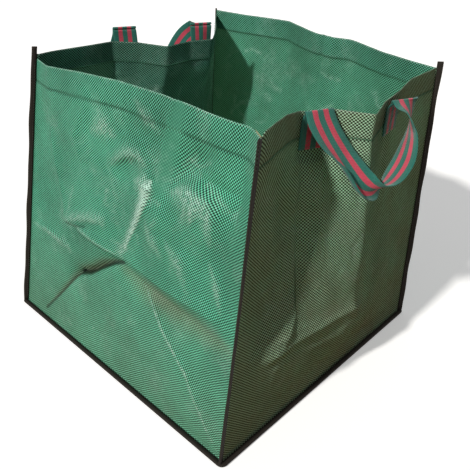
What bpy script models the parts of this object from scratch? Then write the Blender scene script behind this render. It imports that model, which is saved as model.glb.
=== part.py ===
"""Open-topped garden waste bag of woven plastic fabric, about 90 litres, with two webbing handles.

Four side panels and a base panel are cut flat and sewn together. Every seam is a fin of two fabric
edges that stands proud of the bag and is wrapped in a folded binding tape. Each handle is a webbing
strap whose two ends are sewn to the outside of the panel below the rim. The strap folds over at the
rim and its loop hangs down outside, so the loop swings about the line through its two folds.

Metres, +Z up. The origin is the middle of the base on the ground, the front faces -Y.
"""

import math

import bmesh
import bpy
import numpy as np

# Bag
WIDTH = 0.450            # base, left to right, along X
DEPTH = 0.460            # base, front to rear, along Y
HEIGHT = 0.428           # fabric, base seam to rim, along the cloth
FABRIC = 0.0008          # thickness of one layer of cloth
HEM = 0.032              # folded band along the rim
HEM_LAYERS = 2           # layers of cloth in the hem
GAP = 0.0003             # clearance between pieces that touch

# How far each corner of the rim leans from straight above its base corner, in X and Y
LEAN = {
    "front_left": (0.028, 0.002),
    "front_right": (-0.017, 0.018),
    "rear_right": (0.011, 0.010),
    "rear_left": (0.059, -0.012),
}

# Seams
SEAM_FIN = 0.008         # how far the sewn edges stand out of a corner
FIN_FOOT = 0.0004        # what is left of a fin at the base seam
TAPE = 0.0008            # thickness of the binding tape
TAPE_LEG_START = 0.001   # where the tape of an upright seam begins, out from the corner
BASE_LEG_START = 0.002   # where the tape of the base seam begins, out from the panel
TAPE_RISE = 0.009        # loose tape end above the rim
NOSE_RADIUS = 0.008      # rounding of the base tape at a corner
BASE_TAPE_ROUND = 0.0005 # how much further out the edges of the base tape begin
BASE_RAMP = 0.014        # width over which the base cloth rises to its seam

# Handles
STRAP_WIDTH = 0.038
STRAP = 0.0016           # thickness of the webbing
SEWN = 0.045             # how far below the rim the sewn strap reaches
FOLD_RADIUS = 0.0012     # of the strap's middle, where it folds over
FOLD_START = -math.pi / 3  # where the loop's fold begins, under the hinge line on its inner side
LOOP_NECK = 0.012        # straight run of a loop below each fold
LOOP_SHOULDER = 0.030    # how far below its first fold a loop's leg has bowed out
LOOP_TOE = (0.022, 0.020)  # half width of a loop's rounded low end, at the left and at the right
HANDLES = {
    # ends: where along the rim the strap is sewn; stand_off: how far out of the hem each fold sits
    # sewn_top: how far below the rim the strap leaves the cloth
    # rise: height of the folds above the rim; tilt: how far the hanging loop leans out, in degrees
    # drop: length of the hanging loop; foot: how far its low point is off the middle
    # swell: how far its legs bow out sideways, at the left and at the right
    "front": {"panel": "front", "ends": (0.320, 0.640), "stand_off": (0.0015, 0.013), "sewn_top": 0.010,
              "rise": -0.001, "tilt": 27.0, "drop": 0.105, "foot": 0.002, "swell": (-0.004, 0.007)},
    "rear": {"panel": "rear", "ends": (0.346, 0.652), "stand_off": (0.0, 0.0), "sewn_top": 0.0,
             "rise": 0.022, "tilt": 16.0, "drop": 0.150, "foot": 0.010, "swell": (0.004, 0.010)},
}

# The cloth's folds. Each line runs from the base up to the rim, as (height share, width share,
# how far the cloth stands out of the flat panel in metres). Width runs anticlockwise from above.
FOLDS = {
    "front": [
        [(0.0, 0.20, 0.0), (0.28, 0.225, 0.010), (0.45, 0.250, -0.010), (1.0, 0.272, -0.033)],
        [(0.0, 0.40, 0.0), (0.28, 0.380, 0.020), (0.50, 0.368, 0.010), (1.0, 0.368, -0.015)],
        [(0.0, 0.50, 0.0), (0.28, 0.500, 0.031), (0.70, 0.500, 0.032), (1.0, 0.482, 0.031)],
        [(0.0, 0.62, 0.0), (0.28, 0.600, 0.027), (0.70, 0.610, 0.020), (1.0, 0.590, 0.017)],
        [(0.0, 0.76, 0.0), (0.28, 0.720, 0.016), (0.70, 0.710, 0.012), (1.0, 0.690, 0.013)],
        [(0.0, 0.88, 0.0), (0.28, 0.850, 0.006), (0.70, 0.850, 0.004), (1.0, 0.820, 0.002)],
    ],
    "right": [
        [(0.0, 0.15, 0.0), (1.0, 0.186, 0.004)],
        [(0.0, 0.30, 0.0), (0.55, 0.330, 0.014), (1.0, 0.355, 0.028)],
        [(0.0, 0.50, 0.0), (0.50, 0.490, 0.004), (1.0, 0.475, 0.015)],
        [(0.0, 0.72, 0.0), (0.55, 0.690, 0.022), (1.0, 0.671, 0.040)],
        [(0.0, 0.88, 0.0), (1.0, 0.850, 0.012)],
    ],
    "rear": [
        [(0.0, 0.12, 0.0), (1.0, 0.215, -0.062)],
        [(0.0, 0.26, 0.0), (1.0, 0.300, -0.085)],
        [(0.0, 0.38, 0.0), (1.0, 0.392, -0.072)],
        [(0.0, 0.50, 0.0), (1.0, 0.503, -0.070)],
        [(0.0, 0.60, 0.0), (1.0, 0.606, -0.031)],
        [(0.0, 0.70, 0.0), (1.0, 0.698, -0.004)],
        [(0.0, 0.86, 0.0), (1.0, 0.860, 0.001)],
    ],
    "left": [
        [(0.0, 0.02, 0.0), (0.29, 0.300, -0.006), (0.44, 0.510, -0.014), (1.0, 0.100, 0.010)],
        [(0.0, 0.50, 0.0), (0.44, 0.521, -0.014), (1.0, 0.440, -0.008)],
        [(0.0, 0.97, 0.0), (0.21, 0.810, 0.004), (0.44, 0.532, -0.014), (0.76, 0.660, 0.006),
         (1.0, 0.760, -0.020)],
        [(0.0, 0.99, 0.0), (0.44, 0.900, -0.004), (1.0, 0.920, -0.018)],
    ],
}

# The rim isn't cut square: (width share, how far the cloth there reaches above or below its height)
RIM_LIFT = {
    "front": [(0.0, 0.0), (0.28, 0.001), (0.48, 0.0), (0.80, 0.001), (1.0, 0.0)],
    "right": [(0.0, 0.0), (0.36, 0.005), (0.48, 0.003), (0.67, 0.009), (1.0, 0.007)],
    "rear": [(0.0, 0.0), (0.22, -0.004), (0.60, -0.008), (1.0, -0.002)],
    "left": [(0.0, -0.009), (0.10, -0.008), (0.45, -0.003), (0.65, 0.0), (1.0, 0.0)],
}

# Which corners a panel runs between, anticlockwise from above
PANEL_ENDS = {
    "front": ("front_left", "front_right"),
    "right": ("front_right", "rear_right"),
    "rear": ("rear_right", "rear_left"),
    "left": ("rear_left", "front_left"),
}
CORNER_SIDE = {"front_left": (-1, -1), "front_right": (1, -1), "rear_right": (1, 1), "rear_left": (-1, 1)}
GRID_CORNER = {"front_left": (0, 0), "front_right": (0, -1), "rear_right": (-1, -1), "rear_left": (-1, 0)}

# Mesh steps
FOLD_STEPS = 4           # columns from one fold to the next
PANEL_ROWS = 10
HEM_STEP = 0.004         # height over which the hem's thickness begins
CLEAR_ROW = 0.3          # least gap between a row and a fold's bend, as a share of the row step
BASE_COLUMNS = 7
BINDING_ROWS = 6
NOSE_STEPS = 4
STRAP_STEPS = 40
STRAP_FOLD_STEPS = 7
END_COLUMNS = 5
END_ROWS = 3
LOOP_COLUMNS = 3
CURVE_STEPS = 40         # fine points between two points of a strap's route

# Heights of the layers in the base seam, bottom to top
BASE_EDGE_Z = TAPE + GAP + FABRIC / 2
PANEL_FOOT_Z = BASE_EDGE_Z + FABRIC + GAP
BASE_TAPE_TOP = PANEL_FOOT_Z + FABRIC / 2 + GAP + TAPE

# Finishes: colour and roughness
GREEN_CLOTH = ((0.085, 0.310, 0.190), 0.45)
BROWN_TAPE = ((0.050, 0.038, 0.030), 0.7)
TEAL_WEBBING = ((0.012, 0.150, 0.120), 0.75)


def clear_scene():
    for item in list(bpy.data.objects):
        bpy.data.objects.remove(item)


def collection(name):
    made = bpy.data.collections.new(name)
    bpy.context.scene.collection.children.link(made)
    return made


def material(name, colour, roughness):
    made = bpy.data.materials.new(name)
    made.use_nodes = True
    shader = made.node_tree.nodes["Principled BSDF"]
    shader.inputs["Base Color"].default_value = (*colour, 1.0)
    shader.inputs["Roughness"].default_value = roughness
    shader.inputs["Metallic"].default_value = 0.0
    return made


def unit(vector):
    return vector / np.linalg.norm(vector)


def sheet(name, points, thickness, finish, parts, thick=None, closed=False, parent=None):
    """A cloth or tape sheet: a grid laid over rows of points, given its thickness by Solidify.

    thick marks the points that have the whole thickness, where the others have one hem layer's share.
    """
    points = np.asarray(points, float)
    rows, columns = points.shape[:2]
    mesh = bmesh.new()
    weights = mesh.verts.layers.deform.verify()
    grid = []
    for row in range(rows):
        grid.append([])
        for column in range(columns):
            vertex = mesh.verts.new(points[row, column])
            if thick is not None:
                vertex[weights][0] = float(thick[row, column])
            grid[-1].append(vertex)
        if closed:
            grid[-1].append(grid[-1][0])
    for below, above in zip(grid, grid[1:]):
        for column in range(len(below) - 1):
            mesh.faces.new([below[column], below[column + 1], above[column + 1], above[column]])
    data = bpy.data.meshes.new(name)
    mesh.to_mesh(data)
    mesh.free()
    data.materials.append(material(name + "_finish", *finish))
    made = bpy.data.objects.new(name, data)
    parts.objects.link(made)
    shell = made.modifiers.new("thickness", "SOLIDIFY")
    shell.thickness = thickness
    shell.offset = 0.0
    if thick is not None:
        made.vertex_groups.new(name="hem")
        shell.vertex_group = "hem"
        shell.thickness_vertex_group = 1.0 / HEM_LAYERS
    if parent is not None:
        made.parent = parent
    return made


def base_corner(corner):
    side = CORNER_SIDE[corner]
    return np.array([side[0] * WIDTH / 2, side[1] * DEPTH / 2, PANEL_FOOT_Z])


def rim_corner(corner):
    lean = np.array(LEAN[corner])
    rise = math.sqrt(HEIGHT**2 - lean @ lean)
    return base_corner(corner) + np.array([*lean, rise])


def seam_line(corner, height):
    """The point of an upright seam at a share of the cloth's height."""
    return base_corner(corner) + height * (rim_corner(corner) - base_corner(corner))


def seam_slope(corner):
    """The move along an upright seam for each metre of height."""
    run = rim_corner(corner) - base_corner(corner)
    return run / run[2]


def seam_out(corner):
    """The level direction in which a corner's fin stands out."""
    return unit(np.array([*CORNER_SIDE[corner], 0.0], float))


def panel_out(side, height=1.0):
    """The level direction out of a panel, square to the line between its two seams."""
    start, end = (seam_line(corner, height) for corner in PANEL_ENDS[side])
    run = end - start
    return unit(np.array([run[1], -run[0], 0.0]))


def panel_length(side):
    return WIDTH if side in ("front", "rear") else DEPTH


def fold_lines(side, height):
    """Where the folds cross a height: their width shares and how far the cloth stands out there, with
    the two seams as the first and last. Behind the sewn straps the folds run straight up."""
    share = min(height / (1.0 - SEWN / HEIGHT), 1.0)
    at, out = [0.0], [0.0]
    for line in FOLDS[side]:
        levels, places, offsets = zip(*line)
        at.append(np.interp(share, levels, places))
        out.append(np.interp(share, levels, offsets))
    return at + [1.0], out + [0.0]


def fold_levels(side):
    """The heights at which a fold line bends."""
    levels = {point[0] for line in FOLDS[side] for point in line}
    return sorted(level * (1.0 - SEWN / HEIGHT) for level in levels)


def folds_at(side, widths, height=1.0):
    """Width shares as a count of folds from the panel's first seam."""
    at, _ = fold_lines(side, height)
    return np.interp(widths, at, np.arange(len(at)))


def panel_surface(side, folds, heights):
    """Points on the middle of a panel's cloth, for places counted in folds and height shares. Where the
    cloth stands out it draws in sideways and dips, so that it keeps its length both ways."""
    counts = np.arange(len(FOLDS[side]) + 2)
    levels = np.array([*fold_levels(side), 1.0])
    out = np.array([np.interp(folds, counts, fold_lines(side, level)[1]) for level in levels])
    flat, climb = np.diff(levels)[:, None] * HEIGHT, np.diff(out, axis=0)
    dips = np.vstack([np.zeros(len(folds)), np.cumsum(flat - np.sqrt(flat**2 - climb**2), axis=0)])
    points = np.zeros((len(heights), len(folds), 3))
    for row, height in enumerate(heights):
        at, offsets = fold_lines(side, height)
        runs = np.sqrt((np.diff(at) * panel_length(side)) ** 2 - np.diff(offsets) ** 2)
        run = np.concatenate([[0.0], np.cumsum(runs)])
        share = np.interp(folds, counts, run / run[-1])
        start, end = (seam_line(corner, height) for corner in PANEL_ENDS[side])
        points[row] = start + share[:, None] * (end - start)
        points[row] += np.interp(folds, counts, offsets)[:, None] * panel_out(side, height)
        points[row][:, 2] -= [np.interp(height, levels, dip) for dip in dips.T]
        lift = height * np.interp(np.interp(folds, counts, at), *zip(*RIM_LIFT[side]))
        start_slope, end_slope = (seam_slope(corner) for corner in PANEL_ENDS[side])
        points[row] += lift[:, None] * (start_slope + share[:, None] * (end_slope - start_slope))
    return points


def side_panel(side, parts):
    """A side panel with its hem, its two upright fins and the flange in the base seam."""
    hem_start = 1.0 - HEM / HEIGHT
    folds = np.linspace(0.0, len(FOLDS[side]) + 1.0, (len(FOLDS[side]) + 1) * FOLD_STEPS + 1)
    even = np.linspace(0.0, 1.0 - SEWN / HEIGHT, PANEL_ROWS + 1)
    levels = np.array(fold_levels(side))
    clear = [level for level in even if np.min(np.abs(levels - level)) > CLEAR_ROW / PANEL_ROWS]
    heights = np.array(sorted([*clear, *levels, hem_start - HEM_STEP / HEIGHT, hem_start, 1.0]))
    wall = panel_surface(side, folds, heights)
    half_seam = (GAP + FABRIC) / 2
    rows, columns = len(heights) + 1, len(folds) + 2
    grid = np.zeros((rows, columns, 3))
    grid[1:, 1:-1] = wall
    for end, corner in enumerate(PANEL_ENDS[side]):
        out = seam_out(corner)
        aside = np.array([-out[1], out[0], 0.0]) * (1 if end == 0 else -1)
        root, tip = (1, 0) if end == 0 else (-2, -1)
        for row in range(1, rows):
            fin = FIN_FOOT if row == 1 else SEAM_FIN
            grid[row, root] = wall[row - 1, -end] + aside * half_seam
            grid[row, tip] = grid[row, root] + out * fin
        grid[0, tip] = grid[1, root] + out * SEAM_FIN
    grid[0, 1:-1] = grid[1, 1:-1] + panel_out(side, 0.0) * SEAM_FIN
    thick = np.zeros((rows, columns))
    thick[-2:, 2:-2] = 1.0
    return sheet(side + "_panel", grid, FABRIC * HEM_LAYERS, GREEN_CLOTH, parts, thick=thick)


def base_panel(parts):
    """The base cloth: flat on the ground, rising at its edges into the base seam."""
    def stations(length):
        half = length / 2
        flat = np.linspace(BASE_RAMP - half, half - BASE_RAMP, BASE_COLUMNS)
        return np.array([-half - SEAM_FIN, -half, *flat, half, half + SEAM_FIN])

    across, along = stations(WIDTH), stations(DEPTH)
    grid = np.zeros((len(along), len(across), 3))
    grid[:, :, 0] = across[None, :]
    grid[:, :, 1] = along[:, None]
    grid[:, :, 2] = FABRIC / 2
    grid[:2, :, 2] = grid[-2:, :, 2] = grid[:, :2, 2] = grid[:, -2:, 2] = BASE_EDGE_Z
    for corner, place in GRID_CORNER.items():
        tip = base_corner(corner) + seam_out(corner) * SEAM_FIN
        grid[place][:2] = tip[:2]
    return sheet("base_panel", grid, FABRIC, GREEN_CLOTH, parts)


def corner_binding(corner, parts):
    """The folded tape round an upright fin, open towards the bag, with its loose end above the rim."""
    out = seam_out(corner)
    aside = np.array([-out[1], out[0], 0.0])
    half = GAP / 2 + FABRIC + GAP + TAPE / 2
    reach = SEAM_FIN + GAP + TAPE / 2
    foot, rim = base_corner(corner), rim_corner(corner)
    start = BASE_TAPE_TOP + GAP - foot[2]
    finish = rim[2] - foot[2] + TAPE_RISE
    rows = []
    for level in np.linspace(start, finish, BINDING_ROWS):
        middle = foot + seam_slope(corner) * level
        rows.append([
            middle + out * TAPE_LEG_START - aside * half,
            middle + out * reach - aside * half,
            middle + out * reach + aside * half,
            middle + out * TAPE_LEG_START + aside * half,
        ])
    return sheet(corner + "_binding", rows, TAPE, BROWN_TAPE, parts)


def base_binding(parts):
    """The folded tape round the base seam: one tape, carried round the four rounded corners."""
    def ring(out, z):
        """A rounded rectangle, a given distance out of the base's edge."""
        radius = NOSE_RADIUS + out - SEAM_FIN
        points = []
        for quarter, side in enumerate(CORNER_SIDE.values()):
            centre = np.array(side) * (np.array([WIDTH, DEPTH]) / 2 + out - max(radius, 0.0))
            begin = math.pi + quarter * math.pi / 2
            for step in range(NOSE_STEPS + 1):
                angle = begin + step * math.pi / 2 / NOSE_STEPS
                turn = np.array([math.cos(angle), math.sin(angle)])
                points.append(np.array([*(centre + max(radius, 0.0) * turn), z]))
        return points

    low, high = TAPE / 2, BASE_TAPE_TOP - TAPE / 2
    web = SEAM_FIN + GAP + TAPE / 2
    leg = BASE_LEG_START + NOSE_RADIUS - SEAM_FIN + BASE_TAPE_ROUND
    rings = [ring(leg, low), ring(web, low), ring(web, high), ring(leg, high)]
    return sheet("base_binding", np.array(rings), TAPE, BROWN_TAPE, parts, closed=True)


def strap_seat():
    """From the middle of the hem to the middle of a strap sewn on it."""
    return FABRIC * HEM_LAYERS / 2 + GAP + STRAP / 2


def hinge_line(handle):
    """The line through a handle's two folds: its middle, the level direction from the first fold to the
    second, the level direction out of the bag, and half the distance between the folds."""
    side = handle["panel"]
    rim = panel_surface(side, folds_at(side, handle["ends"]), [1.0])[0]
    out = panel_out(side)
    first, second = (point + out * (strap_seat() + FOLD_RADIUS + stand_off)
                     for point, stand_off in zip(rim, handle["stand_off"]))
    along = second - first
    along[2] = 0.0
    middle = (first + second) / 2
    middle[2] = max(rim[0][2], rim[1][2]) + handle["rise"]
    half = np.linalg.norm(along) / 2
    along = unit(along)
    return middle, along, np.array([along[1], -along[0], 0.0]), half


def strap_end(name, handle, end, parts):
    """A sewn end: it lies flat on the outside of the hem, then rises to just under its fold and turns
    to face square to the hinge line."""
    side = handle["panel"]
    middle, along, out, half = hinge_line(handle)
    share = handle["ends"][end]
    half_width = STRAP_WIDTH / 2 / panel_length(side)
    across = folds_at(side, np.linspace(share - half_width, share + half_width, END_COLUMNS))
    patch = panel_surface(side, across, 1.0 - np.linspace(SEWN, handle["sewn_top"], END_ROWS) / HEIGHT)
    normal = unit(np.cross(patch[-1][-1] - patch[-1][0], patch[-1][2] - patch[0][2]))
    rows = [list(line + normal * strap_seat()) for line in patch]
    top = middle + along * half * (2 * end - 1) - out * FOLD_RADIUS
    top[2] = middle[2] - FOLD_RADIUS - STRAP / 2 - GAP
    last = [top + along * offset for offset in np.linspace(-STRAP_WIDTH / 2, STRAP_WIDTH / 2, END_COLUMNS)]
    for step in (0.5, 1.0):
        rows.append([low * (1 - step) + high * step for low, high in zip(rows[END_ROWS - 1], last)])
    return sheet(name, rows, STRAP, TEAL_WEBBING, parts)


def smooth_path(points, steps):
    """Points along a smooth curve through the given ones, with evenly shared steps in length."""
    points = np.array(points, float)
    padded = np.vstack([2 * points[0] - points[1], points, 2 * points[-1] - points[-2]])
    fine = []
    for i in range(1, len(padded) - 2):
        p0, p1, p2, p3 = padded[i - 1:i + 3]
        for t in np.linspace(0, 1, CURVE_STEPS, endpoint=False):
            fine.append(0.5 * (2 * p1 + (p2 - p0) * t + (2 * p0 - 5 * p1 + 4 * p2 - p3) * t**2
                               + (3 * p1 - p0 - 3 * p2 + p3) * t**3))
    fine.append(padded[-2])
    fine = np.array(fine)
    run = np.concatenate([[0.0], np.cumsum(np.linalg.norm(np.diff(fine, axis=0), axis=1))])
    even = np.linspace(0.0, run[-1], steps)
    return np.stack([np.interp(even, run, fine[:, axis]) for axis in range(3)], axis=1)


def strap_loop(name, handle, parts):
    """The free loop, with a fold over the hinge line at each end. The webbing hangs face out from its
    folds and turns edge out at its low point, as a strap does that is bent sideways."""
    middle, along, out, half = hinge_line(handle)
    tilt = math.radians(handle["tilt"])
    down = np.array([0.0, 0.0, -1.0]) * math.cos(tilt) + out * math.sin(tilt)
    proud = np.cross(along, down)
    drop, foot = handle["drop"], handle["foot"]
    left_swell, right_swell = handle["swell"]
    left_toe, right_toe = LOOP_TOE
    route = [
        (-half, 0.0), (-half, LOOP_NECK), (-half * 0.92 + left_swell, LOOP_SHOULDER),
        ((foot - half) / 2 + left_swell, drop * 0.56), (foot - left_toe, drop * 0.93),
        (foot, drop), (foot + right_toe, drop * 0.92),
        ((foot + half) / 2 + right_swell, drop * 0.62), (half + right_swell, drop * 0.30),
        (half, LOOP_NECK), (half, 0.0),
    ]
    path = smooth_path([along * a + down * g for a, g in route], STRAP_STEPS)
    offset = proud * FOLD_RADIUS
    if offset @ out < 0:
        offset = -offset
    run = np.linspace(0.0, 1.0, len(path))
    rows = []

    def across(point, direction):
        return [point + direction * s for s in np.linspace(-STRAP_WIDTH / 2, STRAP_WIDTH / 2, LOOP_COLUMNS)]

    def fold(side, angles):
        for angle in angles:
            turn = -out * math.cos(angle) + np.array([0.0, 0.0, 1.0]) * math.sin(angle)
            rows.append(across(along * half * side + turn * FOLD_RADIUS, along))

    last = math.pi - math.atan2(offset[2], offset @ out)
    angles = np.linspace(FOLD_START, last, STRAP_FOLD_STEPS)
    fold(-1, angles[:-1])
    tangents = [unit(step) for step in np.gradient(path, axis=0)]
    for share, point, tangent in zip(run, path, tangents):
        turned = math.sin(math.pi * share) ** 2 * math.pi / 2
        face = unit(along - (along @ tangent) * tangent * min(1.0, 6 * share, 6 * (1 - share)))
        face = unit(face - (face @ tangent) * tangent) if 0.08 < share < 0.92 else along
        edge = unit(np.cross(tangent, face))
        if edge @ out < 0:
            edge = -edge
        rows.append(across(point + offset, face * math.cos(turned) + edge * math.sin(turned)))
    fold(1, angles[:-1][::-1])
    hinge = bpy.data.objects.new(name + "_hinge", None)
    hinge.location = middle
    hinge.empty_display_size = 0.02
    parts.objects.link(hinge)
    return sheet(name, rows, STRAP, TEAL_WEBBING, parts, parent=hinge)


def build():
    clear_scene()
    parts = collection("garden_waste_bag")
    base_panel(parts)
    for side in PANEL_ENDS:
        side_panel(side, parts)
    base_binding(parts)
    for corner in CORNER_SIDE:
        corner_binding(corner, parts)
    for name, handle in HANDLES.items():
        strap_end(f"{name}_handle_first_end", handle, 0, parts)
        strap_end(f"{name}_handle_second_end", handle, 1, parts)
        strap_loop(f"{name}_handle_loop", handle, parts)
        middle, along, _, half = hinge_line(handle)
        print(name, "handle hinge", np.round(middle, 6), "along", np.round(along, 6), "half", round(half, 4))


build()
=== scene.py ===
"""Looks of the garden waste bag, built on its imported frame.

Every cloth, tape and strap of the frame is replaced by a finely meshed one in the same place. The shape
functions repeat the part's own values, in metres.
"""

import math

import bpy
import numpy as np
from mathutils import Matrix, Vector


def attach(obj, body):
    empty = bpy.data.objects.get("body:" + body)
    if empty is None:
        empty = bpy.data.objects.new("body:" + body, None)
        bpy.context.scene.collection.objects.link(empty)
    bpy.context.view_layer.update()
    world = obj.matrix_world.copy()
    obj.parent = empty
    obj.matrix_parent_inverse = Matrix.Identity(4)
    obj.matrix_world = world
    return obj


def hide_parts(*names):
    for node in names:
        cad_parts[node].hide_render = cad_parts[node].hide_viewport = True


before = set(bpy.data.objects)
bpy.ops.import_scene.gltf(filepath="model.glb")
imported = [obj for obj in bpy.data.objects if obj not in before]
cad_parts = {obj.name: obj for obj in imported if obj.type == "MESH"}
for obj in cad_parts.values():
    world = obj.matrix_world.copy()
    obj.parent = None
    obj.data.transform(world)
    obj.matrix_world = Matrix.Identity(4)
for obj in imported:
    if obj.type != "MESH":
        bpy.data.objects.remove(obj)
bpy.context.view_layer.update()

UP = np.array([0.0, 0.0, 1.0])

# Sizes shared with the part
WIDTH = 0.450
DEPTH = 0.460
HEIGHT = 0.428
FABRIC = 0.0008
HEM = 0.032
GAP = 0.0003
LEAN = {
    "front_left": (0.028, 0.002),
    "front_right": (-0.017, 0.018),
    "rear_right": (0.011, 0.010),
    "rear_left": (0.059, -0.012),
}
SEAM_FIN = 0.008
TAPE = 0.0008
TAPE_LEG_START = 0.001
TAPE_CLEAR = 0.00005
BASE_LEG_START = 0.002
TAPE_RISE = 0.009
NOSE_RADIUS = 0.008
BASE_RAMP = 0.014
STRAP_WIDTH = 0.038
STRAP = 0.0016
SEWN = 0.045
FOLD_RADIUS = 0.0012
FOLD_START = -math.pi / 3
HANDLES = {
    "front": {"ends": (0.32, 0.64), "stand_off": (0.0015, 0.013), "sewn_top": 0.01, "rise": -0.001,
              "tilt": 27},
    "rear": {"ends": (0.346, 0.652), "stand_off": (0, 0), "sewn_top": 0, "rise": 0.022, "tilt": 16},
}
FOLDS = {
    "front": [
        [(0, 0.2, 0), (0.28, 0.225, 0.01), (0.45, 0.25, -0.01), (1, 0.272, -0.033)],
        [(0, 0.4, 0), (0.28, 0.38, 0.02), (0.5, 0.368, 0.01), (1, 0.368, -0.015)],
        [(0, 0.5, 0), (0.28, 0.5, 0.031), (0.7, 0.5, 0.032), (1, 0.482, 0.031)],
        [(0, 0.62, 0), (0.28, 0.6, 0.027), (0.7, 0.61, 0.02), (1, 0.59, 0.017)],
        [(0, 0.76, 0), (0.28, 0.72, 0.016), (0.7, 0.71, 0.012), (1, 0.69, 0.013)],
        [(0, 0.88, 0), (0.28, 0.85, 0.006), (0.7, 0.85, 0.004), (1, 0.82, 0.002)],
    ],
    "right": [
        [(0, 0.15, 0), (1, 0.186, 0.004)],
        [(0, 0.3, 0), (0.55, 0.33, 0.014), (1, 0.355, 0.028)],
        [(0, 0.5, 0), (0.5, 0.49, 0.004), (1, 0.475, 0.015)],
        [(0, 0.72, 0), (0.55, 0.69, 0.022), (1, 0.671, 0.04)],
        [(0, 0.88, 0), (1, 0.85, 0.012)],
    ],
    "rear": [
        [(0, 0.12, 0), (1, 0.215, -0.062)],
        [(0, 0.26, 0), (1, 0.3, -0.085)],
        [(0, 0.38, 0), (1, 0.392, -0.072)],
        [(0, 0.5, 0), (1, 0.503, -0.07)],
        [(0, 0.6, 0), (1, 0.606, -0.031)],
        [(0, 0.7, 0), (1, 0.698, -0.004)],
        [(0, 0.86, 0), (1, 0.86, 0.001)],
    ],
    "left": [
        [(0, 0.02, 0), (0.29, 0.3, -0.006), (0.44, 0.51, -0.014), (1, 0.1, 0.01)],
        [(0, 0.5, 0), (0.44, 0.521, -0.014), (1, 0.44, -0.008)],
        [(0, 0.97, 0), (0.21, 0.81, 0.004), (0.44, 0.532, -0.014), (0.76, 0.66, 0.006),
         (1, 0.76, -0.02)],
        [(0, 0.99, 0), (0.44, 0.9, -0.004), (1, 0.92, -0.018)],
    ],
}
RIM_LIFT = {
    "front": [(0, 0), (0.28, 0.001), (0.48, 0), (0.8, 0.001), (1, 0)],
    "right": [(0, 0), (0.36, 0.005), (0.48, 0.003), (0.67, 0.009), (1, 0.007)],
    "rear": [(0, 0), (0.22, -0.004), (0.6, -0.008), (1, -0.002)],
    "left": [(0, -0.009), (0.1, -0.008), (0.45, -0.003), (0.65, 0), (1, 0)],
}
PANEL_ENDS = {
    "front": ("front_left", "front_right"),
    "right": ("front_right", "rear_right"),
    "rear": ("rear_right", "rear_left"),
    "left": ("rear_left", "front_left"),
}
CORNER_SIDE = {"front_left": (-1, -1), "front_right": (1, -1), "rear_right": (1, 1), "rear_left": (-1, 1)}
SEAM_TURN = {"front_left": -20}
BASE_EDGE_Z = TAPE + GAP + FABRIC / 2
PANEL_FOOT_Z = BASE_EDGE_Z + FABRIC + GAP
BASE_TAPE_TOP = PANEL_FOOT_Z + FABRIC / 2 + GAP + TAPE
TAPE_REACH = SEAM_FIN + GAP + TAPE
STRAP_SEAT = FABRIC + GAP + STRAP / 2

# How much higher than in the part the slack top of a cloth stands, by width share, and the height share at
# which its rise begins
RIM_RISE = {
    "front": [(0, 0.007), (0.03, 0.012), (0.1, 0.0115), (0.17, 0.01), (0.26, 0.003), (0.3, 0),
              (1, 0)],
    "left": [(0, 0), (0.13, 0.003), (0.27, 0.006), (0.47, 0.008), (0.62, 0.01), (0.75, 0.01),
             (0.88, 0.007), (1, 0.007)],
}
RISE_FROM = 0.8

# Mesh and weave of the cloth
COLUMNS = 236
ROWS = 220
BASE_STATIONS = 60
TAPE_PITCH = (0.0022, 0.0020)
SOFTEN = {"front": 4, "right": 10, "rear": 8, "left": 14}
SMALL_CREASES = 60
SLACK = 0.0013           # depth of the slow waves in a wall
HELD_FLAT = 0.05         # share of a wall, along its seams and its foot, over which they die out
SEAT_MARGIN = 0.012      # cloth beside a sewn strap end that lies flat with it
SEAT_FROM = 0.86         # height share from which it does
GROOVE_DEPTH = 0.0007    # how far the hem's stitches pull the cloth in
GROOVE_SPREAD = 0.0022
HEM_ROLL = 0.0011        # from the cloth's middle to the middle of its folded layer
ROLL_LENGTH = 1.5        # length of the rolled rim, in rolls
HIDDEN_EDGE = SEAM_FIN - 0.0012
FIN_FOOT = 0.0004        # how far the seam edges stand out at the very foot
BASE_WAVE = 0.0012

# Threads and tapes
THREAD_SIZE = 0.0007
BOX_THREAD_SIZE = 0.0006
STITCH_SHARE = 0.72      # of each stitch's pitch that its thread covers
# Along a stitch: its share, how far it stands out and how thick it is, in thread sizes
STITCH_SHAPE = [(0.0, -0.2, 0.5), (0.2, 0.35, 1.0), (0.5, 0.5, 1.0), (0.8, 0.35, 1.0), (1.0, -0.2, 0.5)]
HEM_PITCH = 0.0045
TAPE_STITCH_PITCH = 0.0042
BOX_PITCH = 0.0036
TAPE_STITCH_OUT = 0.0030
BOX_SHARE = 0.42         # half width of the stitched box, as a share of the strap's width
BOX_ROWS = (1, 9)
TAPE_WAVES = [(0.0005, 0.023), (0.0004, 0.0117)]    # height and length
TAPE_LEAN = (0.0006, 0.061)
LEG_TRIM = 0.0005        # how much further out the base tape's edges start than in the part
NOSE_LEAST = 0.0003      # least radius of its inner edge round a corner
RUN_RADIUS = NOSE_RADIUS + 0.0005    # at which its length is measured
LAST_STEP = 0.007        # from its last station to its first
CORNER_STEPS = 14
SIDE_STEPS = 61
CREAM_SHARES = (0.958, 0.999)
CREAM_LIFTS = (-0.0060, 0.0040)
CREAM_LEAN = 0.0026
CREAM_BEHIND = 0.0020

# Seeds of the random waves and creases
WALL_SEED = 11
CREASE_SEED = 100
TAPE_SEED = 31
BASE_SEED = 71


def line(points, left, right=None, sharpness=1, pale_and_shade=0.0, reach=1.0):
    """A crease: its points as width share, height share and stand-out, how far it spreads on its left and on
    its right, seen along its points, how round it is, and how pale it is with wear and painted highlight
    (how much painted shade lies on it, below zero) over what share of its spread."""
    return points, (left, right or left), sharpness, pale_and_shade, reach


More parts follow.
